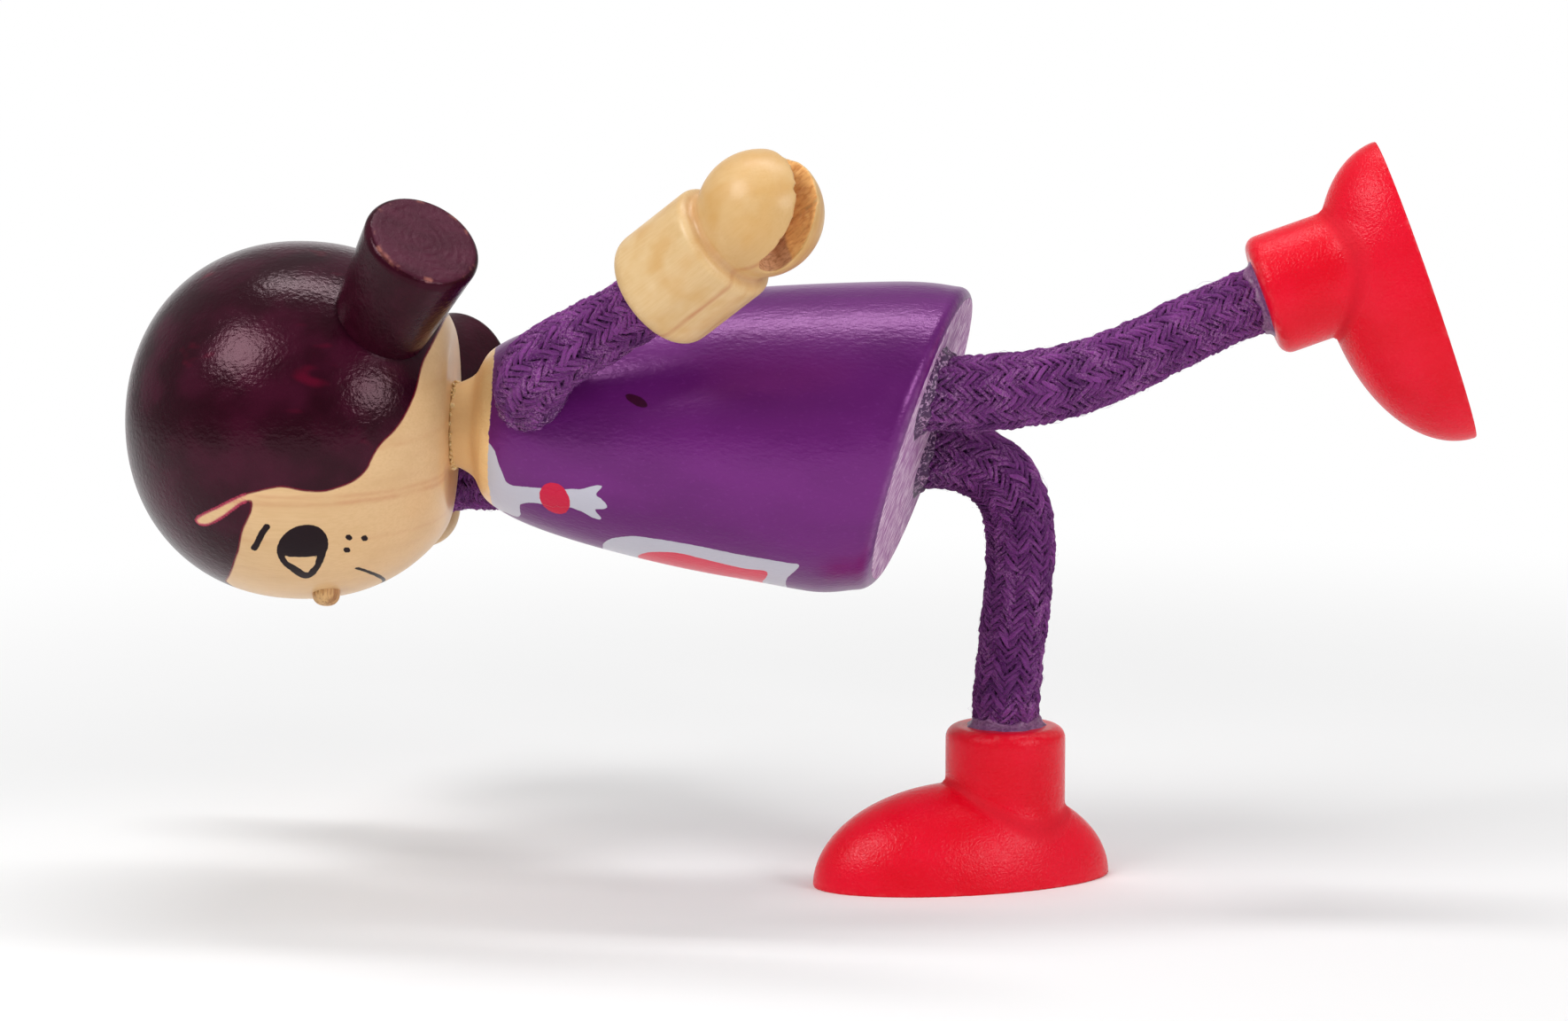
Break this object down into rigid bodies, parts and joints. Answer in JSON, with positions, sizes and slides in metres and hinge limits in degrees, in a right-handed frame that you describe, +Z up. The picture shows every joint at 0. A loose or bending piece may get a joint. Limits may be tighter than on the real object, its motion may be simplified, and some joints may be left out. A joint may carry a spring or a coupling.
{
  "type": "wooden doll",
  "caption": "Wooden doll with a ball head, pigtails, painted turned body, wired rope limbs, slotted hands and red shoes, posed in an arabesque.",
  "frame": {"origin": "middle of the standing (right) shoe's sole", "axes": "+Z up from the sole, the head points along -X, the raised leg along +X, and the doll's left side is towards -Y"},
  "size_m": [0.1283, 0.0665, 0.0726],
  "materials": {
    "head_wood": "satin varnish over maple, with painted hair and face",
    "bare_wood": "raw",
    "hair_paint": "satin paint, worn at the rim",
    "body_paint": "satin paint, hem face pale, neck tan",
    "shoe_paint": "satin paint",
    "hand_wood": "satin varnish",
    "dowel_wood": "raw",
    "rope": "braided cotton, matt",
    "wire": "soft annealed wire"
  },
  "bodies": {
    "torso": {"torso": "body_paint", "neck_dowel": "dowel_wood", "head": "head_wood", "nose_peg": "bare_wood", "left_pigtail": "hair_paint", "right_pigtail": "hair_paint", "left_pigtail_dowel": "dowel_wood", "right_pigtail_dowel": "dowel_wood", "arm_rope_middle": "rope", "arm_wire": "wire"},
    "left_hip": {"left_leg_rope_hip": "rope"},
    "left_thigh": {"left_leg_rope_thigh": "rope", "left_leg_wire": "wire"},
    "left_shin": {"left_leg_rope_knee": "rope", "left_leg_rope_shin": "rope", "left_shoe": "shoe_paint"},
    "left_upper_arm": {"left_arm_rope_shoulder": "rope"},
    "left_forearm": {"left_arm_rope_elbow": "rope", "left_arm_rope_wrist": "rope", "left_hand": "hand_wood"},
    "right_hip": {"right_leg_rope_hip": "rope"},
    "right_thigh": {"right_leg_rope_thigh": "rope", "right_leg_wire": "wire"},
    "right_shin": {"right_leg_rope_knee": "rope", "right_leg_rope_shin": "rope", "right_shoe": "shoe_paint"},
    "right_upper_arm": {"right_arm_rope_shoulder": "rope"},
    "right_forearm": {"right_arm_rope_elbow": "rope", "right_arm_rope_wrist": "rope", "right_hand": "hand_wood"}
  },
  "joints": [
    {"name": "left_hip_swing", "type": "hinge", "parent": "torso", "child": "left_hip", "pos_m": [0.00095, -0.011, 0.04866], "axis": [0.0547, -0.8713, 0.4878], "range_deg": [-75, 40], "deforming": ["left_leg_rope_hip", "left_leg_wire"]},
    {"name": "left_hip_spread", "type": "hinge", "parent": "left_hip", "child": "left_thigh", "pos_m": [0.00802, -0.00964, 0.0493], "axis": [0.2919, -0.4678, -0.8343], "range_deg": [-8, 30], "deforming": ["left_leg_rope_thigh", "left_leg_wire"]},
    {"name": "left_knee_bend", "type": "hinge", "parent": "left_thigh", "child": "left_shin", "pos_m": [0.01467, -0.0067, 0.05109], "axis": [0.4139, -0.8972, 0.1538], "range_deg": [-40, 70], "deforming": ["left_leg_rope_knee", "left_leg_wire"]},
    {"name": "right_hip_swing", "type": "hinge", "parent": "torso", "child": "right_hip", "pos_m": [0.00111, 0.00203, 0.04053], "axis": [0.1277, -0.892, 0.4337], "range_deg": [-35, 80], "deforming": ["right_leg_rope_hip", "right_leg_wire"]},
    {"name": "right_hip_spread", "type": "hinge", "parent": "right_hip", "child": "right_thigh", "pos_m": [0.00533, 0.0017, 0.03508], "axis": [0.9808, 0.0803, 0.1779], "range_deg": [-8, 30], "deforming": ["right_leg_rope_thigh", "right_leg_wire"]},
    {"name": "right_knee_bend", "type": "hinge", "parent": "right_thigh", "child": "right_shin", "pos_m": [0.00532, 0.00149, 0.0276], "axis": [0.3078, -0.9514, -0.0127], "range_deg": [-20, 70], "deforming": ["right_leg_rope_knee", "right_leg_wire"]},
    {"name": "left_shoulder_swing", "type": "hinge", "parent": "torso", "child": "left_upper_arm", "pos_m": [-0.04036, -0.01576, 0.05057], "axis": [0.9651, 0.1894, -0.181], "range_deg": [-40, 50], "deforming": ["left_arm_rope_shoulder", "arm_wire"]},
    {"name": "left_arm_lift", "type": "hinge", "parent": "left_upper_arm", "child": "left_forearm", "pos_m": [-0.03669, -0.0192, 0.05397], "axis": [-0.0413, -0.8975, -0.4391], "range_deg": [-8, 55], "deforming": ["left_arm_rope_elbow", "arm_wire"]},
    {"name": "right_shoulder_swing", "type": "hinge", "parent": "torso", "child": "right_upper_arm", "pos_m": [-0.04114, 0.00746, 0.03818], "axis": [-0.9356, -0.3346, 0.1125], "range_deg": [-5, 50], "deforming": ["right_arm_rope_shoulder", "arm_wire"]},
    {"name": "right_arm_lift", "type": "hinge", "parent": "right_upper_arm", "child": "right_forearm", "pos_m": [-0.04424, 0.01281, 0.03749], "axis": [0.0293, 0.0986, 0.9947], "range_deg": [-60, 15], "deforming": ["right_arm_rope_elbow", "arm_wire"]}
  ]
}
